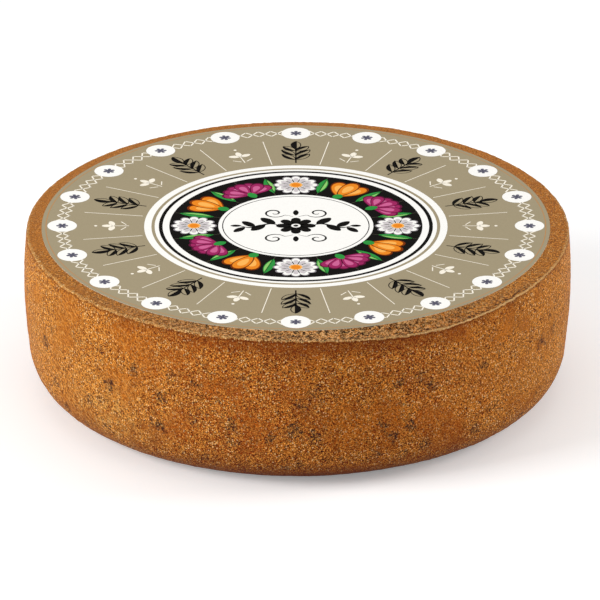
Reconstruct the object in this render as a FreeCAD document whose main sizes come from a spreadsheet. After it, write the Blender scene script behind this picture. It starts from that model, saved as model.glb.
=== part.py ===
import FreeCAD, Part
import math
import os
import Sketcher

# A whole wheel of semi-hard, washed-rind cheese with a round paper label on its top face.
#
# The wheel is pressed in a round mould and ripened on a board, where it is turned by hand every
# few days. That gives it a flat foot with a wide, soft corner, a wall that bellies out above half
# its height, and a flat top with a crisp lip. The lip isn't even all the way round: one stretch
# has been rubbed to a wider rounding, and another has sagged. So the wheel is a loft through
# closed rings, from the flat foot over the wall and the lip to the level top, and each ring joins
# the same station of an upright section that changes with its bearing: the direction from the
# wheel's middle, in degrees from +X towards +Y.
#
# Millimetres, +Z up. The origin is the middle of the foot. -Y is the front and +X the right.

SIZES = [
    ("wheel_height", 92.0, "foot to top face"),
    ("rim_dia", 300.0, "across the wall where it reaches the top"),
    ("belly_bulge", 1.2, "how far the widest part of the wall stands out past the rim"),
    ("belly_height", 63.3, "height of the widest part"),
    ("ankle_inset", 1.0, "how far the wall is in from the rim where it turns to the foot"),
    ("wall_waver", 0.4, "how far the wall wanders in and out, three times round the wheel"),
    ("foot_round", 27.4, "radius of the corner between wall and foot"),
    ("foot_waver", 1.2, "how far that radius comes and goes, twice round the wheel"),
    ("lip_round", 1.6, "radius of the lip where it is crisp"),
    ("worn_round", 6.4, "radius of the lip in the middle of its rubbed stretch"),
    ("worn_bearing", 222.0, "bearing of the rubbed stretch"),
    ("worn_spread", 34.0, "reach of the rubbed stretch to each side, in degrees"),
    ("lip_sag", 3.0, "how far the lip has dropped in the middle of its sagged stretch"),
    ("sag_bearing", 300.0, "bearing of the sagged stretch"),
    ("sag_spread", 20.0, "reach of the sagged stretch to each side, in degrees"),
    ("label_margin", 10.0, "bare cheese from the label's edge out to the rim"),
    ("label_thickness", 0.2, "paper, glue and print"),
    ("label_shift_x", -0.9, "from the wheel's middle to the label's, to the right"),
    ("label_shift_y", 1.7, "from the wheel's middle to the label's, to the back"),
    ("level_border", 0.6, "level cheese left all round the label"),
]

# How finely the loft follows the form: points in a ring, and rings in each run of the section.
RING_POINTS = 48
FOOT_STEPS = 10
WALL_STEPS = 6
LIP_STEPS = 5
SHOULDER_STEPS = 4


def make_sheet(doc):
    """The spreadsheet of driving dimensions: name, value and meaning in each row."""
    sheet = doc.addObject("Spreadsheet::Sheet", "Sizes")
    for row, (name, value, meaning) in enumerate(SIZES, start=1):
        sheet.set(f"A{row}", name)
        sheet.set(f"B{row}", str(value))
        sheet.set(f"C{row}", meaning)
        sheet.setAlias(f"B{row}", name)
    doc.recompute()
    return sheet


def swell(bearing, middle, spread):
    """1 in the middle of a stretch, and fading to nothing past its spread on both sides."""
    apart = (bearing - middle + 180.0) % 360.0 - 180.0
    return math.exp(-((apart / spread) ** 2))


def even_steps(count):
    """Shares from 0 to 1 in so many steps, both ends included."""
    return [step / count for step in range(count + 1)]


class Section:
    """The wheel's upright section at one bearing, as (radius, height) points in four runs."""

    def __init__(self, sheet, bearing):
        turn = math.radians(bearing)
        drift = sheet.wall_waver * math.sin(3 * turn)
        worn = swell(bearing, sheet.worn_bearing, sheet.worn_spread)
        sag = sheet.lip_sag * swell(bearing, sheet.sag_bearing, sheet.sag_spread)
        label_shift = sheet.label_shift_x * math.cos(turn) + sheet.label_shift_y * math.sin(turn)

        self.rim = sheet.rim_dia / 2 + drift
        self.belly = self.rim + sheet.belly_bulge
        self.ankle = self.rim - sheet.ankle_inset
        self.waist = sheet.belly_height
        self.foot = sheet.foot_round + sheet.foot_waver * math.cos(2 * turn)
        self.lip = sheet.lip_round + (sheet.worn_round - sheet.lip_round) * worn
        self.edge = sheet.wheel_height - sag
        self.top = sheet.wheel_height
        self.level = sheet.rim_dia / 2 - sheet.label_margin + label_shift + sheet.level_border

    def wall_radius(self, height):
        """Two parabolas that meet upright at the belly, one down to the ankle, one up to the rim."""
        if height < self.waist:
            drop = (self.waist - height) / (self.waist - self.foot)
            return self.belly - (self.belly - self.ankle) * drop**2
        rise = (height - self.waist) / (self.edge - self.waist)
        return self.belly - (self.belly - self.rim) * rise**2

    def wall_lean(self, height):
        """How far the wall is from upright there, in radians."""
        inward = self.wall_radius(height + 0.5) - self.wall_radius(height - 0.5)
        return abs(math.atan(inward))

    def foot_corner(self):
        """An arc from the flat foot out to the wall, which it meets without a crease."""
        lean = self.wall_lean(self.foot)
        centre = self.wall_radius(self.foot * (1 - math.sin(lean))) - self.foot * math.cos(lean)
        for share in even_steps(FOOT_STEPS):
            turn = (math.pi / 2 - lean) * share
            yield centre + self.foot * math.sin(turn), self.foot * (1 - math.cos(turn))

    def lip_corner(self):
        """An arc from the wall over to the top, lower where the lip has sagged."""
        lean = self.wall_lean(self.edge - self.lip)
        start = self.edge - self.lip * (1 - math.sin(lean))
        centre = self.wall_radius(start) - self.lip * math.cos(lean)
        for share in even_steps(LIP_STEPS):
            turn = lean + (math.pi / 2 - lean) * share
            yield centre + self.lip * math.cos(turn), self.edge - self.lip * (1 - math.sin(turn))

    def wall(self, low, high):
        """What lies between the ends of the two arcs, at those heights."""
        for share in even_steps(WALL_STEPS)[1:-1]:
            height = low + (high - low) * share
            yield self.wall_radius(height), height

    def shoulder(self, outer, low):
        """On from the lip to the level face round the label, level at both of its ends."""
        for share in even_steps(SHOULDER_STEPS)[1:]:
            ease = share * share * (3 - 2 * share)
            yield outer + (self.level - outer) * share, low + (self.top - low) * ease

    def stations(self):
        """All the points from the foot to the level top, as many at every bearing."""
        foot = list(self.foot_corner())
        lip = list(self.lip_corner())
        return [*foot, *self.wall(foot[-1][1], lip[0][1]), *lip, *self.shoulder(*lip[-1])]


def make_ring(bearings, places):
    """A smooth closed curve through the same station of the section at every bearing."""
    points = [
        FreeCAD.Vector(radius * math.cos(turn), radius * math.sin(turn), height)
        for turn, (radius, height) in zip(map(math.radians, bearings), places)
    ]
    curve = Part.BSplineCurve()
    curve.interpolate(Points=points, PeriodicFlag=True)
    return Part.Wire([curve.toShape()])


def make_wheel(doc, sheet):
    """The cheese: one solid, lofted through all the rings and closed by its flat foot and top."""
    bearings = [360.0 * step / RING_POINTS for step in range(RING_POINTS)]
    sections = [Section(sheet, bearing).stations() for bearing in bearings]
    rings = [make_ring(bearings, places) for places in zip(*sections)]
    wheel = doc.addObject("Part::Feature", "cheese_wheel")
    wheel.Label = "cheese_wheel"
    wheel.Shape = Part.makeLoft(rings, True, True)
    return wheel


def make_label(doc):
    """The paper label: a disc glued flat on the top face, a little off the wheel's middle."""
    body = doc.addObject("PartDesign::Body", "paper_label")
    body.Label = "paper_label"
    body.setExpression(".Placement.Base.x", "Sizes.label_shift_x")
    body.setExpression(".Placement.Base.y", "Sizes.label_shift_y")
    body.setExpression(".Placement.Base.z", "Sizes.wheel_height")

    level = next(plane for plane in body.Origin.OriginFeatures if plane.Role == "XY_Plane")
    outline = body.newObject("Sketcher::SketchObject", "label_outline")
    outline.AttachmentSupport = [(level, "")]
    outline.MapMode = "FlatFace"
    edge = outline.addGeometry(Part.Circle(FreeCAD.Vector(), FreeCAD.Vector(0, 0, 1), 100.0))
    outline.addConstraint(Sketcher.Constraint("Coincident", edge, 3, -1, 1))
    across = outline.addConstraint(Sketcher.Constraint("Diameter", edge, 200.0))
    outline.renameConstraint(across, "label_dia")
    outline.setExpression("Constraints.label_dia", "Sizes.rim_dia - 2 * Sizes.label_margin")

    paper = body.newObject("PartDesign::Pad", "label_sheet")
    paper.Profile = outline
    paper.setExpression("Length", "Sizes.label_thickness")
    body.Tip = paper
    return body


def check(doc, parts):
    """Stop before anything is written if an object failed or a part has no sound shape."""
    for item in doc.Objects:
        if {"Invalid", "Error"} & set(item.State):
            raise RuntimeError(f"{item.Name} didn't recompute: {item.State}")
    for part in parts:
        if part.Shape.isNull() or not part.Shape.isValid() or len(part.Shape.Solids) != 1:
            raise RuntimeError(f"{part.Label} isn't one sound solid")


doc = FreeCAD.newDocument("CheeseWheel")
sheet = make_sheet(doc)
parts = [make_wheel(doc, sheet), make_label(doc)]
doc.recompute()
check(doc, parts)

os.makedirs("parts", exist_ok=True)
for part in parts:
    part.Shape.exportStep(f"parts/{part.Label}.step")
    print(f"{part.Label}: {part.Shape.Volume / 1e6:.3f} litres, {len(part.Shape.Faces)} faces")
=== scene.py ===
import math

import bmesh
import bpy
from mathutils import Euler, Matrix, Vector


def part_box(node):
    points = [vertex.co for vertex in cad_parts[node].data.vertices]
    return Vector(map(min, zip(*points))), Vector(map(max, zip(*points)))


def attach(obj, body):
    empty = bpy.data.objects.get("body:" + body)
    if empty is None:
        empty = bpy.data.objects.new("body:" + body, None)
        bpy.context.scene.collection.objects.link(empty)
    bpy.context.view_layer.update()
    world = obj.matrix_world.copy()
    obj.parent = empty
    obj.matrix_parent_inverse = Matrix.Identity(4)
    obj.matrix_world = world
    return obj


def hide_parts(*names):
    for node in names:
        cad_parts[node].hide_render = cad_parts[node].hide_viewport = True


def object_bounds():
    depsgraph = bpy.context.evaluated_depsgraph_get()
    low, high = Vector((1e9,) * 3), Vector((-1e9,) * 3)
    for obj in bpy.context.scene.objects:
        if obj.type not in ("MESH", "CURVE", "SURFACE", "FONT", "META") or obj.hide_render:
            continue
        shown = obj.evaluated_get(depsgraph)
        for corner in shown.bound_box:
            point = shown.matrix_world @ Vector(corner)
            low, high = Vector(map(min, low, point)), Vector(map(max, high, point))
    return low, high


# A whole wheel of washed-rind cheese with a round printed label on its flat top, on a white
# sweep under soft light. All lengths are in metres, in the wheel's own frame: the origin is the
# middle of the foot, +Z is up, and -Y is the front. A bearing is an angle from +X towards +Y.

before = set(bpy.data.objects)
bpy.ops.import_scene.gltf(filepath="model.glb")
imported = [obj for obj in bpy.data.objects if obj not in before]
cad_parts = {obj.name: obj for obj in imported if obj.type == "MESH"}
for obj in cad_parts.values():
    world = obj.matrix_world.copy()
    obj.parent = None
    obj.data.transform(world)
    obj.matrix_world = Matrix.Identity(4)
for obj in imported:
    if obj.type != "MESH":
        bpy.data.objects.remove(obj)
solid_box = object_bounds()
scene = bpy.context.scene


# --- The camera ------------------------------------------------------------------------------
# A long lens from six metres away, which hardly narrows the back of the wheel. It looks down on
# the wheel, and is aimed a little right of its middle and above its half height.

MM = 0.001
CAMERA_DISTANCE = 6.0
CAMERA_LENS_MM = 652.0
CAMERA_SENSOR_MM = 36.0
CAMERA_REACH = 50.0
CAMERA_DOWN = math.radians(24.18)
CAMERA_SIDESTEP = 1.4 * MM
CAMERA_LIFT = 1.8 * MM

middle = (solid_box[0] + solid_box[1]) / 2
camera_turn = Euler((math.pi / 2 - CAMERA_DOWN, 0, 0))
aim = Vector((0, 0, middle.z)) + camera_turn.to_matrix() @ Vector((CAMERA_SIDESTEP, CAMERA_LIFT, 0))
bpy.ops.object.camera_add(
    location=aim + camera_turn.to_matrix() @ Vector((0, 0, CAMERA_DISTANCE)), rotation=camera_turn
)
camera = bpy.context.object
camera.name = "camera"
camera.data.lens = CAMERA_LENS_MM
camera.data.sensor_width = CAMERA_SENSOR_MM
camera.data.clip_end = CAMERA_REACH
scene.camera = camera


# --- The cheese ------------------------------------------------------------------------------
# A pressed wheel of semi-hard cheese, which was washed, turned and brushed while it ripened, so
# that its own outside dried to a rind. One stretch of the lip is rubbed and another has sagged.
# The rind is finely pitted all over, but flat under the label and the foot.

FOOT_ROUND = 27.4 * MM
LIP_ROUND = 1.6 * MM
BELLY_BULGE = 1.2 * MM
BELLY_HEIGHT = 63.3 * MM
ANKLE_INSET = 1.0 * MM
LEVEL_BORDER = 0.6 * MM
UNDER_LABEL = 6 * MM
RIND_COLUMNS = 800
RIND_MESH = 1.2 * MM
SAME_PLACE = 0.05 * MM

# How far the lip has sagged, how far down from the top it is rubbed, and in how many passes.
LIP_SAG = 3.0 * MM
RUBBED_DOWN_TO = 14 * MM
RUBBED_FULLY_TO = 8 * MM
RUBBING_PASSES = 60

# The rind's relief, pressed in from its even form: what it is, its spacing and its depth.
RIND_RELIEF = (
    ("waves", 45 * MM, 0.5 * MM),
    ("dimples", 9 * MM, 0.4 * MM),
    ("grit", 2.4 * MM, 0.4 * MM),
)

# It fades in from the label's edge on what counts as the top, and from the foot below that.
RELIEF_FADE = 3 * MM
TOP_DEPTH = 5 * MM

# Stretches of the wheel, each with the bearing of its middle and its spread, in degrees.
SAGGED = (300, 20)
RUBBED = (222, 34)
CRUMBLED_FRONT = (272, 42)
CRISP_LIP = (314, 25)
BRUSHED_LEFT = (215, 38)
CALM_BACK = (100, 95)
CALM_LEVEL = 1.3
# The two flanks that are painted paler and yellower, as painted light from the side lamps.
LIT_LEFT_FLANK = (200, 34)
LIT_RIGHT_FLANK = (342, 26)
BLOOM = (226, 10)
BLOOM_HEIGHT = (24, 20)

wheel_low, wheel_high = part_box("cheese_wheel")
label_low, label_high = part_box("paper_label")
TOP = wheel_high.z
BELLY = (wheel_high.x - wheel_low.x) / 2
RIM = BELLY - BELLY_BULGE
LABEL_RADIUS = (label_high.x - label_low.x) / 2
LABEL_CENTRE = Vector(((label_low.x + label_high.x) / 2, (label_low.y + label_high.y) / 2, 0))
LEVEL_RADIUS = LABEL_RADIUS + LEVEL_BORDER


def steps(start, end, spacing):
    """Even shares from 0 to 1 for a run of that length, without the first."""
    count = max(1, round(abs(end - start) / spacing))
    return [step / count for step in range(1, count + 1)]


def rind_section():
    """The wheel's half section as (radius, height) points, from the foot to under the label."""
    ankle = RIM - ANKLE_INSET
    points = [(ankle - FOOT_ROUND, 0.0)]
    for share in steps(0, FOOT_ROUND * math.pi / 2, RIND_MESH):
        turn = math.pi / 2 * share
        points.append(
            (ankle - FOOT_ROUND * (1 - math.sin(turn)), FOOT_ROUND * (1 - math.cos(turn)))
        )
    lip_start = TOP - LIP_ROUND
    for share in steps(FOOT_ROUND, lip_start, RIND_MESH):
        height = FOOT_ROUND + (lip_start - FOOT_ROUND) * share
        if height < BELLY_HEIGHT:
            fall = (BELLY_HEIGHT - height) / (BELLY_HEIGHT - FOOT_ROUND)
            points.append((BELLY - (BELLY - ankle) * fall**2, height))
        else:
            rise = (height - BELLY_HEIGHT) / (lip_start - BELLY_HEIGHT)
            points.append((BELLY - (BELLY - RIM) * rise**2, height))
    for share in steps(0, LIP_ROUND * math.pi / 2, RIND_MESH / 2):
        turn = math.pi / 2 * share
        points.append(
            (RIM - LIP_ROUND * (1 - math.cos(turn)), lip_start + LIP_ROUND * math.sin(turn))
        )
    under_label = LABEL_RADIUS - UNDER_LABEL
    for share in steps(RIM - LIP_ROUND, under_label, RIND_MESH):
        points.append((RIM - LIP_ROUND + (under_label - RIM + LIP_ROUND) * share, TOP))
    return points


def pick(piece, kind, wanted):
    """In edit mode, select only the vertices, edges or faces that pass the test."""
    bpy.ops.mesh.select_all(action="DESELECT")
    mesh = bmesh.from_edit_mesh(piece.data)
    for part in getattr(mesh, kind):
        if wanted(part):
            part.select_set(True)
    bmesh.update_edit_mesh(piece.data)


def on_circle(edge, radius, height):
    """Whether both ends of the edge are that far from the wheel's axis and at that height."""
    return all(
        abs(end.co.xy.length - radius) + abs(end.co.z - height) < SAME_PLACE for end in edge.verts
    )


# A single point is drawn out along the section, the line is spun to a skin, and the two holes that
# are left, in the foot and under the label, are filled.
section = rind_section()
bpy.ops.object.select_all(action="DESELECT")
bpy.ops.mesh.primitive_plane_add(size=MM, location=(0, 0, 0))
rind = bpy.context.object
rind.name = "rind"
bpy.ops.object.mode_set(mode="EDIT")
bpy.ops.mesh.merge(type="CENTER")
bpy.ops.transform.translate(value=(section[0][0], 0, section[0][1]))
for (radius, height), (next_radius, next_height) in zip(section, section[1:]):
    bpy.ops.mesh.extrude_vertices_move(
        TRANSFORM_OT_translate={"value": (next_radius - radius, 0, next_height - height)}
    )
bpy.ops.mesh.select_all(action="SELECT")
bpy.ops.mesh.spin(steps=RIND_COLUMNS, angle=math.tau, center=(0, 0, 0), axis=(0, 0, 1))
bpy.ops.mesh.select_all(action="SELECT")
bpy.ops.mesh.remove_doubles(threshold=0.01 * MM)
for radius, height in (section[0], section[-1]):
    pick(rind, "edges", lambda edge: on_circle(edge, radius, height))
    bpy.ops.mesh.edge_face_add()
bpy.ops.mesh.select_all(action="SELECT")
bpy.ops.mesh.normals_make_consistent(inside=False)
bpy.ops.object.mode_set(mode="OBJECT")
bpy.ops.object.shade_smooth()


def swell(value, centre, spread):
    """1 at the centre and fading to nothing on both sides, for degrees round or millimetres up."""
    apart = (value - centre + 180) % 360 - 180
    return math.exp(-((apart / spread) ** 2))


def ramp(value, start, end):
    """0 before the start, 1 past the end and smooth between them."""
    share = min(max((value - start) / (end - start), 0), 1)
    return share * share * (3 - 2 * share)


def weigh(piece, name, rule):
    """A vertex group whose weights come from each vertex's place."""
    group = piece.vertex_groups.new(name=name)
    for vertex in piece.data.vertices:
        group.add([vertex.index], rule(vertex.co), "REPLACE")


def mark(piece, name, rule):
    """A named number at each vertex, worked out from its place, for the material to read."""
    values = piece.data.attributes.new(name, "FLOAT", "POINT").data
    for vertex, entry in zip(piece.data.vertices, values):
        entry.value = rule(vertex.co)


def finish_shape(piece, kind, **settings):
    """Put a modifier on the piece, set it and apply it."""
    modifier = piece.modifiers.new(kind.lower(), kind)
    for name, value in settings.items():
        setattr(modifier, name, value)
    bpy.context.view_layer.objects.active = piece
    bpy.ops.object.modifier_apply(modifier=modifier.name)


def bearing_of(place):
    """The direction from the wheel's middle, in degrees."""
    return math.degrees(math.atan2(place.y, place.x))


def stretch(where):
    """A rule that is 1 in the middle of a stretch of the wheel and fades along the rim."""
    return lambda place: swell(bearing_of(place), *where)


def sagged(place):
    """Full on the lip, and fading down the wall and in towards the label."""
    out = (place - LABEL_CENTRE).xy.length
    inward = ramp(out, LEVEL_RADIUS, RIM - LIP_ROUND)
    down = min(max((place.z - BELLY_HEIGHT) / (TOP - LIP_ROUND - BELLY_HEIGHT), 0), 1)
    return swell(bearing_of(place), *SAGGED) * inward * down


def rubbed(place):
    """The stretch of the lip that has been rubbed round."""
    return swell(bearing_of(place), *RUBBED) * ramp(
        place.z, TOP - RUBBED_DOWN_TO, TOP - RUBBED_FULLY_TO
    )


def pitted(place):
    """All the outside but the flat foot and what lies under the label."""
    out = (place - LABEL_CENTRE).xy.length
    if place.z > TOP - TOP_DEPTH:
        return ramp(out, LABEL_RADIUS, LABEL_RADIUS + RELIEF_FADE)
    return ramp(place.z, 0, RELIEF_FADE)


def from_lip(place):
    """How far from the lip: above 0 in towards the label, and below 0 down the wall."""
    return RIM - min(place.xy.length, RIM) - (TOP - place.z)


def bloom(place):
    """A pale patch low on the left of the wall."""
    return swell(bearing_of(place), *BLOOM) * swell(place.z / MM, *BLOOM_HEIGHT)


def calm(place):
    """The back, where the ledge round the label is even, and fully so near its middle."""
    return min(CALM_LEVEL * swell(bearing_of(place), *CALM_BACK), 1)


def lit_flanks(place):
    """Painted light: the two flanks, paler and yellower where the side lamps light them."""
    return swell(bearing_of(place), *LIT_LEFT_FLANK) + swell(bearing_of(place), *LIT_RIGHT_FLANK)


mark(rind, "from_lip", from_lip)
mark(rind, "crumbled", stretch(CRUMBLED_FRONT))
mark(rind, "bloom", bloom)
mark(rind, "crisp", stretch(CRISP_LIP))
mark(rind, "brushed", stretch(BRUSHED_LEFT))
mark(rind, "calm", calm)
mark(rind, "lit_flanks", lit_flanks)
weigh(rind, "sagged", sagged)
weigh(rind, "rubbed", rubbed)
weigh(rind, "pitted", pitted)
finish_shape(rind, "DISPLACE", direction="Z", mid_level=0, strength=-LIP_SAG, vertex_group="sagged")
finish_shape(rind, "SMOOTH", factor=0.5, iterations=RUBBING_PASSES, vertex_group="rubbed")
for name, spacing, depth in RIND_RELIEF:
    relief = bpy.data.textures.new(f"rind_{name}", "CLOUDS")
    relief.noise_scale = spacing
    relief.noise_depth = 1
    finish_shape(
        rind,
        "DISPLACE",
        texture=relief,
        texture_coords="LOCAL",
        mid_level=1,
        strength=depth,
        vertex_group="pitted",
    )


def linear(colour):
    """An sRGB hex colour as the linear RGBA that a shader takes."""
    parts = [int(colour[i : i + 2], 16) / 255 for i in (1, 3, 5)]
    return [c / 12.92 if c <= 0.04045 else ((c + 0.055) / 1.055) ** 2.4 for c in parts] + [1]


def add(tree, kind, inputs=None, **settings):
    """Add a node with its settings, and give each input a value or link it from a socket."""
    node = tree.nodes.new(kind)
    for name, value in settings.items():
        setattr(node, name, value)
    for socket, value in (inputs or {}).items():
        if isinstance(value, bpy.types.NodeSocket):
            tree.links.new(value, node.inputs[socket])
        else:
            node.inputs[socket].default_value = value
    return node


def per_metre(spacing):
    """The scale at which a texture repeats about once in that spacing."""
    return 1 / spacing


# Natural rind, washed with brine and brushed: dry and matt, with hardly any shine. Ochre and rust
# clouds give it depth, and pale grains with dark pits between them make it look sandy. Mould leaves
# dark marks low on the wall, and the brush slanting strokes. The real grain is 0.3 to 0.5 mm and
# too fine to show, so it is drawn at 0.6 to 1.6 mm, and the strokes are drawn as coarse.
GRAIN_BUMP = 0.65 * MM
STROKE_WAY = Vector((0.5, -0.5, -0.7))
STROKE_WIDTH = 0.85 * MM
STROKE_STRETCH = 3.5
# The cells that hold the painted glints and the dark pits are this far apart.
GLINT_AND_PIT_SPACING = 1.2 * MM
MOULD_SPACING = 15 * MM
TORN_MOULD = 0.14
RAGGED_LIP = 0.6 * MM
FRONT_SAND = 0.65

washed_rind = bpy.data.materials.new("washed_rind")
washed_rind.use_nodes = True
tree = washed_rind.node_tree
tree.nodes.clear()
place = add(tree, "ShaderNodeTexCoord").outputs["Object"]
height = add(tree, "ShaderNodeSeparateXYZ", {0: place}).outputs["Z"]

# Clouds and grains. Each has its spacing in mm, its detail and swirl, and the two levels of its
# noise between which it goes from nothing to full.
masks = {}
for name, spacing, detail, swirl, low, high in (
    ("ochre", 60, 2, 0, 0.42, 0.62),
    ("rust", 16, 4, 0, 0.45, 0.7),
    ("sandy", 22, 3, 0, 0.32, 0.52),
    ("pale_grain", 0.6, 0, 1.2, 0.54, 0.59),
    ("dark_grain", 0.8, 0, 1.2, 0.46, 0.4),
    ("crumb", 1.6, 2, 0, 0.52, 0.4),
    ("dark_crumb", 1.6, 1, 1.2, 0.53, 0.46),
    ("pale_crumb", 1.4, 0, 1.5, 0.53, 0.58),
    ("ragged", 4, 3, 0, 0.3, 0.7),
    ("dark_rubble", 3.2, 2, 0.5, 0.48, 0.41),
    ("pale_rubble", 2.6, 2, 0.5, 0.54, 0.62),
):
    noise = add(
        tree,
        "ShaderNodeTexNoise",
        {
            "Vector": place,
            "Scale": per_metre(spacing * MM),
            "Detail": detail,
            "Distortion": swirl,
        },
    )
    masks[name] = add(
        tree,
        "ShaderNodeMapRange",
        {"Value": noise.outputs["Fac"], "From Min": low, "From Max": high},
        interpolation_type="SMOOTHSTEP",
    ).outputs[0]

# Brush strokes: a grain drawn out along the way that the brush went.
strokes = add(
    tree,
    "ShaderNodeMapping",
    {
        "Vector": place,
        "Rotation": Vector((0, 0, 1)).rotation_difference(STROKE_WAY).to_euler(),
        "Scale": (1, 1, STROKE_STRETCH),
    },
    vector_type="TEXTURE",
).outputs[0]
bristles = add(
    tree, "ShaderNodeTexNoise", {"Vector": strokes, "Scale": per_metre(STROKE_WIDTH), "Detail": 1}
).outputs["Fac"]
for name, low, high in (("pale_stroke", 0.55, 0.67), ("dark_stroke", 0.44, 0.34)):
    masks[name] = add(
        tree,
        "ShaderNodeMapRange",
        {"Value": bristles, "From Min": low, "From Max": high},
        interpolation_type="SMOOTHSTEP",
    ).outputs[0]

# Single pale flecks, painted glints of the rind's grains, and dark pits. Each cell may hold one,
# where its chance is above the limit, and it fades out at that share of the cell's width.
cells = add(tree, "ShaderNodeTexVoronoi", {"Vector": place, "Scale": per_metre(GLINT_AND_PIT_SPACING)})
chances = add(tree, "ShaderNodeSeparateColor", {0: cells.outputs["Color"]})
for name, channel, limit, reach in (("glint_fleck", "Red", 0.7, 0.41), ("pit", "Green", 0.84, 0.5)):
    drawn = add(
        tree, "ShaderNodeMath", {0: chances.outputs[channel], 1: limit}, operation="GREATER_THAN"
    )
    spot = add(
        tree,
        "ShaderNodeMapRange",
        {"Value": cells.outputs["Distance"], "From Min": reach, "From Max": reach / 2},
    )
    masks[name] = add(
        tree, "ShaderNodeMath", {0: drawn.outputs[0], 1: spot.outputs[0]}, operation="MULTIPLY"
    ).outputs[0]

# What varies across the lip and up the wall. The distance from the lip is made a little ragged, and
# so are the rounds of mould.
lip_distance = add(tree, "ShaderNodeAttribute", attribute_name="from_lip").outputs["Fac"]
strayed = add(
    tree,
    "ShaderNodeMapRange",
    {"Value": masks["ragged"], "To Min": -RAGGED_LIP, "To Max": RAGGED_LIP},
)
across = add(
    tree, "ShaderNodeMath", {0: lip_distance, 1: strayed.outputs[0]}, operation="ADD"
).outputs[0]
rounds = add(tree, "ShaderNodeTexVoronoi", {"Vector": place, "Scale": per_metre(MOULD_SPACING)})
torn = add(
    tree,
    "ShaderNodeMapRange",
    {"Value": masks["ragged"], "To Min": -TORN_MOULD, "To Max": TORN_MOULD},
)
blotch = add(
    tree, "ShaderNodeMath", {0: rounds.outputs["Distance"], 1: torn.outputs[0]}, operation="ADD"
).outputs[0]

# Each band rises between its first two limits and falls between its last two.
NO_START = (-2.0, -1.0)
NO_END = (1.0, 2.0)
for name, value, *limits in (
    # Pale grains on the lip's round: partly real crumbs, partly painted highlight.
    ("edge", across, -1.4 * MM, -0.5 * MM, 1.0 * MM, 2.2 * MM),
    # A painted highlight line along the lip.
    ("line", across, -1.2 * MM, -0.5 * MM, 0.4 * MM, 1.3 * MM),
    # A thin line of painted shadow just under the lip.
    ("shade", across, -3.2 * MM, -1.6 * MM, -1.5 * MM, -0.8 * MM),
    ("ledge", across, -0.9 * MM, 0.3 * MM, *NO_END),
    # A band of painted shade down the wall, under the lip.
    ("under", across, -13.0 * MM, -5.0 * MM, -1.8 * MM, -0.8 * MM),
    ("groove", across, 1.0 * MM, 1.8 * MM, 3.0 * MM, 4.2 * MM),
    ("mould", blotch, *NO_START, 0.08, 0.36),
    # Painted shade: the wall is darker towards the foot, where the wheel meets the floor.
    ("foot", height, *NO_START, 4 * MM, 40 * MM),
    ("heel", height, *NO_START, 2 * MM, 20 * MM),
    ("low", height, 4 * MM, 16 * MM, 52 * MM, 78 * MM),
):
    rise = add(
        tree,
        "ShaderNodeMapRange",
        {"Value": value, "From Min": limits[0], "From Max": limits[1]},
        interpolation_type="SMOOTHSTEP",
    )
    fall = add(
        tree,
        "ShaderNodeMapRange",
        {"Value": value, "From Min": limits[3], "From Max": limits[2]},
        interpolation_type="SMOOTHSTEP",
    )
    masks[name] = add(
        tree, "ShaderNodeMath", {0: rise.outputs[0], 1: fall.outputs[0]}, operation="MULTIPLY"
    ).outputs[0]

# The stretches that are marked on the mesh, alone and together with the bands.
for name in ("crumbled", "bloom", "lit_flanks", "crisp", "brushed", "calm"):
    masks[name] = add(tree, "ShaderNodeAttribute", attribute_name=name).outputs["Fac"]
for name, one, other in (
    ("front_ledge", "ledge", "crumbled"),
    ("front_lip_shade", "under", "crumbled"),
    ("front_heel_shade", "heel", "crumbled"),
    ("bloom", "ragged", "bloom"),
    ("low_mould", "mould", "low"),
    ("crisp_groove", "groove", "crisp"),
):
    masks[name] = add(
        tree, "ShaderNodeMath", {0: masks[one], 1: masks[other]}, operation="MULTIPLY"
    ).outputs[0]

# The front is sandy all over, and the rest in patches.
front_sand = add(
    tree, "ShaderNodeMath", {0: masks["crumbled"], 1: FRONT_SAND}, operation="MULTIPLY"
)
masks["sandy"] = add(
    tree, "ShaderNodeMath", {0: masks["sandy"], 1: front_sand.outputs[0]}, operation="MAXIMUM"
).outputs[0]

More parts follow.
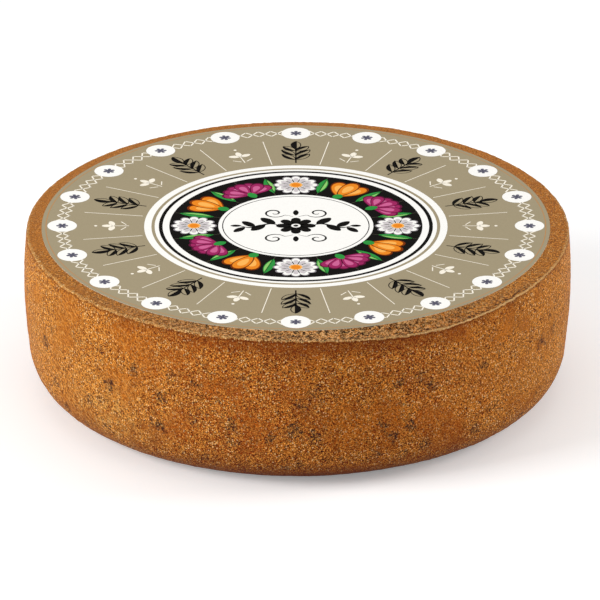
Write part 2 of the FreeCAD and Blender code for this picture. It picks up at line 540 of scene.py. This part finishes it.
# The coats of colour, each over the last: where it lies, what that is limited to, how much of it
# there is, and its colour.
colour = linear("#aa490a")
for mask, within, strength, tint in (
    ("ochre", None, 1.0, "#be5f0c"),
    ("rust", None, 0.75, "#8a3306"),
    # Painted light: the flanks, paler and yellower where the side lamps fall on them.
    ("lit_flanks", None, 0.6, "#cf8826"),
    ("bloom", None, 1.0, "#e8b968"),
    # Painted shade low on the wall, darker towards the foot.
    ("foot", None, 0.8, "#6e2503"),
    ("ledge", None, 0.5, "#c47b32"),
    ("dark_grain", None, 0.65, "#642404"),
    ("pale_grain", None, 0.6, "#e6903a"),
    ("crumb", "sandy", 0.75, "#702206"),
    ("dark_grain", "sandy", 1.0, "#3a0a03"),
    ("low_mould", None, 0.6, "#502b24"),
    ("crumb", "low_mould", 0.95, "#331a1a"),
    ("dark_grain", "low_mould", 1.0, "#1b0a0c"),
    ("pale_grain", "sandy", 1.0, "#fdaa49"),
    ("dark_stroke", "brushed", 0.45, "#7a3206"),
    ("pale_stroke", "brushed", 0.5, "#f2b05c"),
    # Painted glints: pale flecks where the grains catch the light.
    ("glint_fleck", "sandy", 1.0, "#ffd696"),
    ("pit", "sandy", 0.8, "#3a1202"),
    ("crumb", "low_mould", 0.75, "#3c221c"),
    # More painted shade just above the foot, across the front.
    ("front_heel_shade", None, 0.85, "#6c2909"),
    # Painted shade under the front of the lip, and a thin line of painted shadow under it.
    ("front_lip_shade", None, 0.6, "#833809"),
    ("shade", None, 0.5, "#5e2406"),
    ("dark_grain", "ledge", 0.7, "#4a1d08"),
    ("crumb", "front_ledge", 1.0, "#321c0c"),
    ("dark_crumb", "front_ledge", 1.0, "#100702"),
    ("pale_crumb", "front_ledge", 1.0, "#f2b878"),
    ("dark_rubble", "front_ledge", 0.6, "#251308"),
    ("pale_rubble", "front_ledge", 0.35, "#e9a35c"),
    # Painted glints on the ledge.
    ("glint_fleck", "ledge", 0.7, "#e6b76e"),
    ("crumb", "crisp_groove", 0.9, "#4c1f0a"),
    ("dark_grain", "crisp_groove", 0.9, "#2c1006"),
    ("ledge", "calm", 0.8, "#bb7633"),
    # A painted highlight along the lip, crisp on the right of the front.
    ("line", None, 0.25, "#d9a260"),
    ("line", "crisp", 0.9, "#e3b478"),
    ("crumb", "crisp_groove", 0.7, "#3a1a0a"),
    # Pale grains on the lip's round: partly real crumbs, partly painted highlight.
    ("pale_grain", "edge", 0.9, "#e6b671"),
    # Painted glints on the lip's round.
    ("glint_fleck", "edge", 0.9, "#f5d7a0"),
):
    share = add(
        tree, "ShaderNodeMath", {0: masks[mask], 1: strength}, operation="MULTIPLY"
    ).outputs[0]
    if within:
        share = add(
            tree, "ShaderNodeMath", {0: share, 1: masks[within]}, operation="MULTIPLY"
        ).outputs[0]
    colour = add(
        tree, "ShaderNodeMix", {"Factor": share, 6: colour, 7: linear(tint)}, data_type="RGBA"
    ).outputs[2]

# The pale grains stand out of the skin, and the dark ones are pits in it.
relief = add(
    tree, "ShaderNodeMath", {0: masks["pale_grain"], 1: masks["dark_grain"]}, operation="SUBTRACT"
)
bump = add(
    tree,
    "ShaderNodeBump",
    {"Strength": 0.8, "Distance": GRAIN_BUMP, "Height": relief.outputs[0]},
)
skin = add(
    tree,
    "ShaderNodeBsdfPrincipled",
    {
        "Base Color": colour,
        "Roughness": 0.6,
        "Specular IOR Level": 0.07,
        "Normal": bump.outputs[0],
    },
)
add(tree, "ShaderNodeOutputMaterial", {"Surface": skin.outputs[0]})
rind.data.materials.append(washed_rind)
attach(rind, "root")
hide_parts("cheese_wheel")


# --- The paper label --------------------------------------------------------------------------
# A round of uncoated paper, cut out and glued flat on the cheese. It is printed buff all over, with
# plain white and black rings round a black middle, and its cut edge shows the paper itself.

PAPER_THICKNESS = 0.08 * MM
PAPER_TOP = label_low.z + PAPER_THICKNESS
PAPER_INKS = ("buff", "white", "black", "cream")
PAPER_FIBRES = 0.9 * MM
FIBRE_BUMP = 0.1 * MM

# Ink is only about 0.002 mm thick, but its layers lie further apart, so that none shows through.
LAYER = 0.02 * MM

# The print is drawn for a label of this radius, and fitted to the real one as it is laid on.
DRAWN_RADIUS = 141.0 * MM

# The plain rings, from the outside in: the radius in mm at which each starts, and its ink.
RINGS = (
    (84.1, "white"),
    (80.1, "buff"),
    (78.3, "white"),
    (76.0, "black"),
    (73.9, "white"),
    (70.2, "black"),
)
INK_COLOURS = {
    "buff": "#a4977b",
    "white": "#fffdf8",
    "black": "#070503",
    "cream": "#fdf5e4",
    "tan": "#c08a55",
    "soot": "#4d483c",
    "slate": "#5f5e6e",
    "orange": "#ef8a22",
    "amber": "#ffb759",
    "rust": "#7a3206",
    "wine": "#5c1136",
    "plum": "#a02860",
    "rose": "#cf6496",
    "lilac": "#d0c8ca",
    "grey": "#8d878b",
    "green": "#2f9440",
    "leaf": "#8fce6f",
}


# Offset printing ink on uncoated paper: it soaks in, so it is flat and matt, with no shine, and the
# paper's fibres give its tone a faint cloudiness and its surface a slight tooth. Real fibres are
# about 0.05 mm across and too fine to show, so they are drawn as tufts of 0.9 mm.
def print_ink(name, colour):
    """A printing ink of that name and colour."""
    ink = bpy.data.materials.new(f"printed_{name}")
    ink.use_nodes = True
    tree = ink.node_tree
    tree.nodes.clear()
    place = add(tree, "ShaderNodeTexCoord").outputs["Object"]
    fibres = add(
        tree, "ShaderNodeTexNoise", {"Vector": place, "Scale": per_metre(PAPER_FIBRES), "Detail": 3}
    ).outputs["Fac"]
    cloudiness = add(
        tree,
        "ShaderNodeMapRange",
        {"Value": fibres, "From Min": 0.25, "From Max": 0.75, "To Min": 0.97, "To Max": 1.03},
    )
    tone = add(
        tree,
        "ShaderNodeHueSaturation",
        {"Color": linear(colour), "Value": cloudiness.outputs[0]},
    )
    tooth = add(
        tree, "ShaderNodeBump", {"Strength": 0.15, "Distance": FIBRE_BUMP, "Height": fibres}
    )
    paper = add(
        tree,
        "ShaderNodeBsdfPrincipled",
        {
            "Base Color": tone.outputs[0],
            "Roughness": 0.8,
            "Specular IOR Level": 0.04,
            "Normal": tooth.outputs[0],
        },
    )
    add(tree, "ShaderNodeOutputMaterial", {"Surface": paper.outputs[0]})
    return ink


INKS = {name: print_ink(name, colour) for name, colour in INK_COLOURS.items()}


def only(piece):
    """Select this piece alone, in object mode."""
    bpy.ops.object.select_all(action="DESELECT")
    piece.select_set(True)
    bpy.context.view_layer.objects.active = piece


def disc(radius, sides=48):
    """A filled circle in the plane of the label, facing up."""
    bpy.ops.mesh.primitive_circle_add(vertices=sides, radius=radius, fill_type="NGON")
    return bpy.context.object


def inked(piece, *names):
    """Give the piece its inks, in the order of its material slots."""
    for name in names:
        piece.data.materials.append(INKS[name])
    return piece


def put(piece, x=0.0, y=0.0, turn=0.0, size=(1, 1), over=0):
    """Scale, turn and move the piece, lift it over what it overlaps, and apply that."""
    only(piece)
    piece.scale = (size[0], size[1], 1)
    piece.rotation_euler = (0, 0, math.radians(turn))
    piece.location = (x, y, over * LAYER / 2)
    bpy.ops.object.transform_apply()
    return piece


def joined(name, pieces):
    """Join the pieces to one object of that name."""
    only(pieces[0])
    for piece in pieces[1:]:
        piece.select_set(True)
    bpy.ops.object.join()
    pieces[0].name = name
    pieces[0].data.name = name
    return pieces[0]


def round_about(piece, count):
    """Repeat the piece evenly round the label's middle."""
    bpy.ops.object.empty_add(rotation=(0, 0, math.tau / count))
    step = bpy.context.object
    finish_shape(
        piece,
        "ARRAY",
        count=count,
        use_relative_offset=False,
        use_object_offset=True,
        offset_object=step,
    )
    bpy.data.objects.remove(step)
    return piece


def lay(piece, name, layer):
    """Lay a drawn piece on the label, fitted to its size and that many layers of ink up."""
    only(piece)
    piece.name = name
    piece.data.name = name
    piece.scale = (LABEL_RADIUS / DRAWN_RADIUS, LABEL_RADIUS / DRAWN_RADIUS, 1)
    piece.location = LABEL_CENTRE + Vector((0, 0, PAPER_TOP + layer * LAYER))
    bpy.ops.object.transform_apply()
    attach(piece, "root")
    return piece


def open_inside(piece, border, ink_slot):
    """In edit mode, inset the selected faces by a border and give what is inside another ink."""
    bpy.ops.mesh.inset(thickness=border)
    piece.active_material_index = ink_slot
    bpy.ops.object.material_slot_assign()


# The sheet is a disc with a thickness, whose top face is inset once for each ring.
paper = inked(disc(DRAWN_RADIUS, 360), *PAPER_INKS)
only(paper)
bpy.ops.object.mode_set(mode="EDIT")
bpy.ops.mesh.select_all(action="SELECT")
bpy.ops.mesh.extrude_region_move(TRANSFORM_OT_translate={"value": (0, 0, -PAPER_THICKNESS)})
bpy.ops.mesh.select_all(action="SELECT")
bpy.ops.mesh.normals_make_consistent(inside=False)
pick(paper, "faces", lambda face: abs(face.normal.z) < 0.5)
paper.active_material_index = PAPER_INKS.index("cream")
bpy.ops.object.material_slot_assign()
pick(paper, "faces", lambda face: face.normal.z > 0.5)
radius = DRAWN_RADIUS
for ring_radius, ink in RINGS:
    open_inside(paper, radius - ring_radius * MM, PAPER_INKS.index(ink))
    radius = ring_radius * MM
bpy.ops.object.mode_set(mode="OBJECT")
lay(paper, "label_sheet", 0)
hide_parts("paper_label")


# --- The label's border -----------------------------------------------------------------------
# Printed round the edge: a tan hairline, a chain of cream diamonds made by two crossing zigzags,
# and on the chain a ring of white dots, each with a small flower.

EDGE_LINE_RADIUS = 138.6 * MM
EDGE_LINE_WIDTH = 0.45 * MM
CHAIN_RADIUS = 129.6 * MM
CHAIN_LINKS = 116
CHAIN_DEPTH = 7.0 * MM
CHAIN_LINE = 0.85 * MM
DOT_RADIUS = 8.2 * MM
DOTS = 20
DOT_PETALS = 6
DOT_PETAL_LENGTH = 3.4 * MM
DOT_PETAL_WIDTH = 1.7 * MM


def ring(radius, width):
    """A thin ring, from a disc whose inside is cut out."""
    piece = disc(radius + width / 2, 240)
    only(piece)
    bpy.ops.object.mode_set(mode="EDIT")
    bpy.ops.mesh.select_all(action="SELECT")
    bpy.ops.mesh.inset(thickness=width)
    bpy.ops.mesh.delete(type="FACE")
    bpy.ops.object.mode_set(mode="OBJECT")
    return piece


def dash(length, width):
    """A straight stroke along X."""
    bpy.ops.mesh.primitive_plane_add(size=1)
    return put(bpy.context.object, size=(length, width))


lay(inked(ring(EDGE_LINE_RADIUS, EDGE_LINE_WIDTH), "tan"), "border_hairline", 1)

# Two links of the chain are four strokes, and the pair is repeated round the label.
pitch = math.tau * CHAIN_RADIUS / CHAIN_LINKS
slope = math.degrees(math.atan2(CHAIN_DEPTH, pitch))
stroke_length = math.hypot(pitch, CHAIN_DEPTH)
links = []
for slant in (slope, -slope):
    for side in (-1, 1):
        stroke = put(dash(stroke_length, CHAIN_LINE), turn=slant * side, x=side * pitch / 2)
        links.append(put(stroke, y=CHAIN_RADIUS))
chain = round_about(joined("chain", links), CHAIN_LINKS // 2)
lay(inked(chain, "cream"), "border_chain", 1)

dots = round_about(put(inked(disc(DOT_RADIUS, 32), "white"), y=CHAIN_RADIUS), DOTS)
lay(dots, "border_dots", 2)


def petal(length, width, waist=1.2, sides=24):
    """A rounded petal from the origin towards +Y, narrow at its root."""
    piece = put(disc(0.5, sides), size=(width, length))
    finish_shape(piece, "SIMPLE_DEFORM", deform_method="TAPER", deform_axis="Y", factor=waist)
    return put(piece, y=length / 2)


flower = []
for n in range(DOT_PETALS):
    one = petal(DOT_PETAL_LENGTH, DOT_PETAL_WIDTH, sides=12)
    flower.append(put(one, turn=360 / DOT_PETALS * n))
flower = inked(joined("flower", flower), "slate")
flowers = round_about(put(flower, y=CHAIN_RADIUS), DOTS)
lay(flowers, "border_flowers", 3)


# --- The buff band's ornament -----------------------------------------------------------------
# Fine cream rays run out from the white ring. Between them stand leafy twigs in black, cut like a
# woodblock with one solid and one open half to each leaf, and small cream trefoils.

BAND_INNER = 86 * MM
BAND_OUTER = 119 * MM
BAND_FIELDS = 20
RAY_WIDTH = 0.5 * MM
TWIG_START = BAND_INNER + 1.5 * MM
TWIG_LENGTH = 21 * MM
TWIG_WIDTH = 0.8 * MM
TIP_LEAF = (11 * MM, 6.0 * MM)
TIP_LEAF_UP = 20 * MM
LEAF_WIDTH = 5.2 * MM
LEAF_BORDER = 0.55 * MM
TREFOIL_RADIUS = 101 * MM
TREFOIL_LEAF = (7.0 * MM, 3.4 * MM)
TREFOIL_LEAF_TURN = 72
TREFOIL_LINE = 0.6 * MM
TREFOIL_STEM = 9 * MM
TREFOIL_STEM_DOWN = 4 * MM
TREFOIL_DOT = 0.9 * MM
TREFOIL_DOT_UP = 10 * MM
SEPAL_LENGTH = 5 * MM
SEPAL_TURN = 35
SEPAL_OUT = 3.6 * MM
SEPAL_DOWN = 5.5 * MM

# A twig's pairs of leaves: how far up it they stand and their length, in mm, and their turn.
TWIG_LEAVES = ((4.5, 11.5, 44), (10.8, 11.5, 46), (17.0, 10.0, 48))


def leaf(length, width, sides=64):
    """A pointed leaf from the origin towards +Y, in two halves that meet at its midrib."""
    bow = (length**2 + width**2) / (4 * width)
    piece = put(disc(bow, sides), x=width / 2 - bow)
    only(piece)
    bpy.ops.object.mode_set(mode="EDIT")
    bpy.ops.mesh.select_all(action="SELECT")
    bpy.ops.mesh.bisect(plane_co=(0, 0, 0), plane_no=(1, 0, 0), clear_inner=True)
    bpy.ops.object.mode_set(mode="OBJECT")
    finish_shape(piece, "MIRROR", use_axis=(True, False, False), use_mirror_merge=True)
    return put(piece, y=length / 2)


ray = put(dash(BAND_OUTER - BAND_INNER, RAY_WIDTH), turn=90, y=(BAND_INNER + BAND_OUTER) / 2)
rays = put(round_about(ray, BAND_FIELDS), turn=180 / BAND_FIELDS)
lay(inked(rays, "cream"), "band_rays", 1)


def open_half(piece, border):
    """Open the right half of a leaf: inside a border it takes its second ink."""
    only(piece)
    bpy.ops.object.mode_set(mode="EDIT")
    pick(piece, "faces", lambda face: face.calc_center_median().x > 0)
    open_inside(piece, border, 1)
    bpy.ops.object.mode_set(mode="OBJECT")
    return piece


def woodcut_leaf(length, width):
    """A black leaf with one half left open."""
    return open_half(inked(leaf(length, width), "black", "buff"), LEAF_BORDER)


twig = [inked(put(dash(TWIG_LENGTH, TWIG_WIDTH), turn=90, y=TWIG_LENGTH / 2), "black", "buff")]
twig.append(put(woodcut_leaf(*TIP_LEAF), y=TIP_LEAF_UP))
for up, length, turn in TWIG_LEAVES:
    for side in (-1, 1):
        twig.append(put(woodcut_leaf(length * MM, LEAF_WIDTH), turn=turn * side, y=up * MM))
twigs = put(joined("twig", twig), y=TWIG_START)
lay(round_about(twigs, BAND_FIELDS // 2), "band_twigs", 1)

# A trefoil is three leaves over a stem, a dot on top and two small sepals at its foot.
trefoil = [put(leaf(*TREFOIL_LEAF), turn=TREFOIL_LEAF_TURN * n) for n in (-1, 0, 1)]
trefoil.append(put(dash(TREFOIL_STEM, TREFOIL_LINE), turn=90, y=-TREFOIL_STEM_DOWN))
trefoil.append(put(disc(TREFOIL_DOT, 16), y=TREFOIL_DOT_UP))
for side in (-1, 1):
    sepal = dash(SEPAL_LENGTH, TREFOIL_LINE)
    trefoil.append(put(sepal, turn=SEPAL_TURN * side, x=SEPAL_OUT * side, y=-SEPAL_DOWN))
trefoils = round_about(put(joined("trefoil", trefoil), y=TREFOIL_RADIUS), BAND_FIELDS // 2)
lay(inked(put(trefoils, turn=360 / BAND_FIELDS), "cream"), "band_trefoils", 1)


# --- The black disc's flowers -----------------------------------------------------------------
# Three kinds of simple meadow flower stand in turn on the black: pale daisies, orange tulips and
# plum pinks, with green leaves between them, over a fan of faint hairlines.

FLOWER_RADIUS = 56.5 * MM
FLOWERS = 12
HAIRLINES = 24
HAIRLINE_LENGTH = 26 * MM
HAIRLINE_WIDTH = 0.35 * MM
BLADE_RADIUS = 47 * MM
BLADE = (20 * MM, 5.6 * MM)
BLADE_BORDER = 0.5 * MM

# How much of a petal its outline, its fill and its heart take up. What stands in front of a petal
# is lifted over all three.
PETAL_SHARES = (1.0, 0.86, 0.5)
IN_FRONT = len(PETAL_SHARES)

# Each flower's sizes. A petal has its length, its width and how much it narrows to its root, and
# the roots and the cup lie that far down from the flower's middle.
DAISY_PETALS = 12
DAISY_PETAL = (12.8 * MM, 4.8 * MM, 1.2)
DAISY_EYE = (("amber", 3.6 * MM), ("orange", 2.6 * MM))
TULIP_SIDE_PETAL = (20 * MM, 9.5 * MM, 0.6)
TULIP_SIDE_TURN = 27
TULIP_MIDDLE_PETAL = (21 * MM, 9.5 * MM, 0.6)
TULIP_ROOT_DOWN = 9.5 * MM
TULIP_CUP = (7 * MM, 5.5 * MM)
TULIP_CUP_DOWN = 6.5 * MM
PINK_PETALS = 7
PINK_PETAL = (17 * MM, 6.8 * MM, 1.3)
PINK_PETAL_TURN = 22
PINK_ROOT_DOWN = 7.5 * MM
PINK_CUP = (8 * MM, 5 * MM)
PINK_CUP_DOWN = 4 * MM

hairline = put(dash(HAIRLINE_LENGTH, HAIRLINE_WIDTH), turn=90, y=FLOWER_RADIUS)
lay(inked(round_about(hairline, HAIRLINES), "soot"), "disc_hairlines", 1)


def lined_petal(length, width, waist, inks, over=0):
    """A petal in three inks: its outline, its fill and its heart, each over the last."""
    parts = []
    for n, (ink, share) in enumerate(zip(inks, PETAL_SHARES)):
        part = inked(petal(length * share, width * share, waist), ink)
        parts.append(put(part, y=length * (1 - share) / 2, over=over + n))
    return joined("petal", parts)


def cup(length, width, down):
    """The green cup that holds a flower's petals, over their roots."""
    return put(inked(leaf(length, width), "green"), turn=180, y=-down, over=IN_FRONT * 2)


def planted(name, parts, place):
    """Join a flower's parts, and repeat it round the disc at every third place from that one."""
    flowers = round_about(put(joined(name, parts), y=FLOWER_RADIUS), FLOWERS // 3)
    return put(flowers, turn=-360 / FLOWERS * place)


# A daisy: narrow petals round a two-ringed eye.
daisy = []
for n in range(DAISY_PETALS):
    one = lined_petal(*DAISY_PETAL, ("grey", "white", "lilac"))
    daisy.append(put(one, turn=360 / DAISY_PETALS * n))
for n, (ink, radius) in enumerate(DAISY_EYE):
    daisy.append(put(inked(disc(radius, 24), ink), over=IN_FRONT + n))
daisies = planted("daisy", daisy, 0)

# A tulip: two side petals behind a middle one, on a green cup.
tulip = []
for turn, size, over in (
    (-TULIP_SIDE_TURN, TULIP_SIDE_PETAL, 0),
    (TULIP_SIDE_TURN, TULIP_SIDE_PETAL, 0),
    (0, TULIP_MIDDLE_PETAL, IN_FRONT),
):
    one = lined_petal(*size, ("rust", "orange", "amber"), over)
    tulip.append(put(one, turn=turn, y=-TULIP_ROOT_DOWN))
tulip.append(cup(*TULIP_CUP, TULIP_CUP_DOWN))
tulips = planted("tulip", tulip, 1)

# A pink: a fan of petals, every other one in front, on a green cup.
pink = []
for n in range(PINK_PETALS):
    one = lined_petal(*PINK_PETAL, ("wine", "plum", "rose"), IN_FRONT * (n % 2))
    turn = PINK_PETAL_TURN * (n - PINK_PETALS // 2)
    pink.append(put(one, turn=turn, y=-PINK_ROOT_DOWN))
pink.append(cup(*PINK_CUP, PINK_CUP_DOWN))
pinks = planted("pink", pink, 2)

blade = open_half(inked(leaf(*BLADE), "green", "leaf"), BLADE_BORDER)
blades = put(round_about(put(blade, y=BLADE_RADIUS), FLOWERS), turn=180 / FLOWERS)

lay(blades, "disc_leaves", 2)
lay(daisies, "disc_daisies", 2.5)
lay(tulips, "disc_tulips", 2.5)
lay(pinks, "disc_pinks", 2.5)


# --- The label's middle -----------------------------------------------------------------------
# A white disc with a black hairline, and on it a rosette with a leafy scroll to each side and two
# pairs of curls, drawn with a swelling pen line.

CENTRE_RADIUS = 43.0 * MM
CENTRE_LINE_RADIUS = 40.6 * MM
CENTRE_LINE_WIDTH = 0.55 * MM
EYE_RADIUS = 2.6 * MM
EYE_RIM = 1.2 * MM
ROSETTE_PETALS = 8
ROSETTE_PETAL = (11 * MM, 5.0 * MM, 1.0)
CROWN_LEAF = (8 * MM, 3.2 * MM)
CROWN_LEAF_UP = 14 * MM
PEN_TIP = 0.25
CURL_LINE = 1.2 * MM
SCROLL_LINE = 1.6 * MM
SCROLL_TIP_LEAF = (6.5 * MM, 3.0 * MM)

# The scroll's stem, from where it leaves the rosette to its tip, in mm. Its leaves have these
# lengths and that share of them as their width, and lean out from it by that turn.
SCROLL_START = 8.5
SCROLL_END = 31.0
SCROLL_WAVE = 2.6
SCROLL_STEPS = 16
SCROLL_LEAVES = (12.5, 12.0, 11.0, 9.5)
SCROLL_LEAF_SHAPE = 0.46
SCROLL_LEAF_TURN = 48

# A curl leaves the rosette at its root and winds into its middle, both in mm: the turn at which it
# starts to wind, in degrees, how many times it goes round, its radius, and how far that shrinks.
CURL_ROOT = (1.5, 12.5)
CURL_MIDDLE = (12, 17.5)
CURL_START = 200
CURL_TURNS = 1.35
CURL_RADIUS = 6.5
CURL_SHRINK = 0.85
CURL_STEPS = 24

lay(inked(disc(CENTRE_RADIUS, 120), "white"), "centre_disc", 3)
lay(inked(ring(CENTRE_LINE_RADIUS, CENTRE_LINE_WIDTH), "black"), "centre_hairline", 4)


def pen_line(path, width):
    """A line along a path of points in mm, thinner at its ends and pressed flat on the paper."""
    bpy.ops.curve.primitive_nurbs_path_add()
    piece = bpy.context.object
    curve = piece.data
    curve.bevel_depth = width / 2
    curve.bevel_resolution = 0
    curve.resolution_u = 3
    curve.use_fill_caps = True
    spline = curve.splines[0]
    spline.points.add(len(path) - len(spline.points))
    for n, (point, (x, y)) in enumerate(zip(spline.points, path)):
        point.co = (x * MM, y * MM, 0, 1)
        point.radius = PEN_TIP + (1 - PEN_TIP) * math.sin(math.pi * n / (len(path) - 1))
    spline.order_u = 3
    spline.use_endpoint_u = True
    only(piece)
    bpy.ops.object.convert(target="MESH")
    piece.scale = (1, 1, LAYER / 4 / width)
    bpy.ops.object.transform_apply()
    return piece


curl = [CURL_ROOT]
for n in range(CURL_STEPS + 1):
    angle = math.radians(CURL_START) + CURL_TURNS * math.tau * n / CURL_STEPS
    reach = CURL_RADIUS * (1 - CURL_SHRINK * n / CURL_STEPS)
    x, y = CURL_MIDDLE
    curl.append((x + reach * math.cos(angle), y + reach * math.sin(angle)))

stem = []
for n in range(SCROLL_STEPS + 1):
    along = SCROLL_START + (SCROLL_END - SCROLL_START) * n / SCROLL_STEPS
    stem.append((along, SCROLL_WAVE * math.sin(math.tau * n / SCROLL_STEPS)))

petal_turn = 360 / ROSETTE_PETALS
ornament = [put(petal(*ROSETTE_PETAL), turn=petal_turn * n) for n in range(ROSETTE_PETALS)]
for side in (-1, 1):
    ornament.append(pen_line([(side * x, y) for x, y in stem], SCROLL_LINE))
    for n, length in enumerate(SCROLL_LEAVES):
        up = 1 if n % 2 == 0 else -1
        one = leaf(length * MM, length * SCROLL_LEAF_SHAPE * MM)
        x, y = stem[2 + 4 * n]
        turn = side * -(90 - SCROLL_LEAF_TURN * up)
        ornament.append(put(one, turn=turn, x=side * x * MM, y=y * MM))
    tip = leaf(*SCROLL_TIP_LEAF)
    ornament.append(put(tip, turn=-90 * side, x=(SCROLL_END - 1) * side * MM))
    for up in (-1, 1):
        ornament.append(pen_line([(side * x, up * y) for x, y in curl], CURL_LINE))
for up in (-1, 1):
    ornament.append(put(leaf(*CROWN_LEAF), turn=90 - 90 * up, y=up * CROWN_LEAF_UP))
ornament = inked(joined("ornament", ornament), "black")
lay(ornament, "centre_ornament", 4)

eye = inked(disc(EYE_RADIUS, 24), "white", "black")
only(eye)
bpy.ops.object.mode_set(mode="EDIT")
bpy.ops.mesh.select_all(action="SELECT")
open_inside(eye, EYE_RIM, 1)
bpy.ops.object.mode_set(mode="OBJECT")
lay(eye, "centre_eye", 5)


# --- The floor and the light ------------------------------------------------------------------
# The wheel rests on a wide sweep of matt white paper in a studio of even white air. A soft lamp
# from the left is the main light, one from the right fills, and one overhead lifts the label.

FLOOR_SIZE = 40.0
FLOOR_COLOUR = "#f4f4f4"
FLOOR_GLOW = 0.25
AIR_LIGHT = 0.40
AIR_SEEN = 1.0
WHITE = "#ffffff"
LAMP_AIM = Vector((0, 0, 0.05))

# Each lamp's name, its place and size in metres, and its power in watts.
LAMPS = (
    ("key", (-1.6, -0.6, 0.85), 1.0, 29),
    ("fill", (1.6, 0.2, 0.7), 0.8, 15),
    ("overhead", (0.0, 0.3, 2.0), 1.6, 5.5),
)


def seen_share(tree):
    """1 for what is seen, straight, mirrored or through glass, and 0 for the light given."""
    ray = add(tree, "ShaderNodeLightPath").outputs
    seen = ray["Is Camera Ray"]
    for other in ("Is Glossy Ray", "Is Transmission Ray"):
        seen = add(
            tree, "ShaderNodeMath", {0: seen, 1: ray[other]}, operation="MAXIMUM"
        ).outputs[0]
    return seen


bpy.ops.mesh.primitive_plane_add(size=FLOOR_SIZE, location=(0, 0, 0))
floor = bpy.context.object
floor.name = "floor"

# Matt white background paper: it takes a soft shadow, and glows a little to the camera alone, so
# that it reads as plain white and throws no more light on the cheese.
white_sweep = bpy.data.materials.new("white_sweep")
white_sweep.use_nodes = True
tree = white_sweep.node_tree
tree.nodes.clear()
glow = add(
    tree, "ShaderNodeMapRange", {"Value": seen_share(tree), "To Min": 0.0, "To Max": FLOOR_GLOW}
)
matt = add(tree, "ShaderNodeBsdfDiffuse", {"Color": linear(FLOOR_COLOUR)})
lit = add(tree, "ShaderNodeEmission", {"Color": linear(WHITE), "Strength": glow.outputs[0]})
both = add(tree, "ShaderNodeAddShader", {0: matt.outputs[0], 1: lit.outputs[0]})
add(tree, "ShaderNodeOutputMaterial", {"Surface": both.outputs[0]})
floor.data.materials.append(white_sweep)

# The air of the studio is white to the camera, and gives less light than that to the cheese.
studio = bpy.data.worlds.new("studio")
scene.world = studio
studio.use_nodes = True
tree = studio.node_tree
tree.nodes.clear()
strength = add(
    tree, "ShaderNodeMapRange", {"Value": seen_share(tree), "To Min": AIR_LIGHT, "To Max": AIR_SEEN}
)
air = add(tree, "ShaderNodeBackground", {"Color": linear(WHITE), "Strength": strength.outputs[0]})
add(tree, "ShaderNodeOutputWorld", {"Surface": air.outputs[0]})

for name, spot, size, power in LAMPS:
    bpy.ops.object.light_add(type="AREA", location=spot)
    lamp = bpy.context.object
    lamp.name = name
    lamp.data.shape = "RECTANGLE"
    lamp.data.size = size
    lamp.data.size_y = size
    lamp.data.energy = power
    lamp.rotation_euler = (LAMP_AIM - lamp.location).to_track_quat("-Z", "Y").to_euler()

scene.view_settings.view_transform = "Standard"
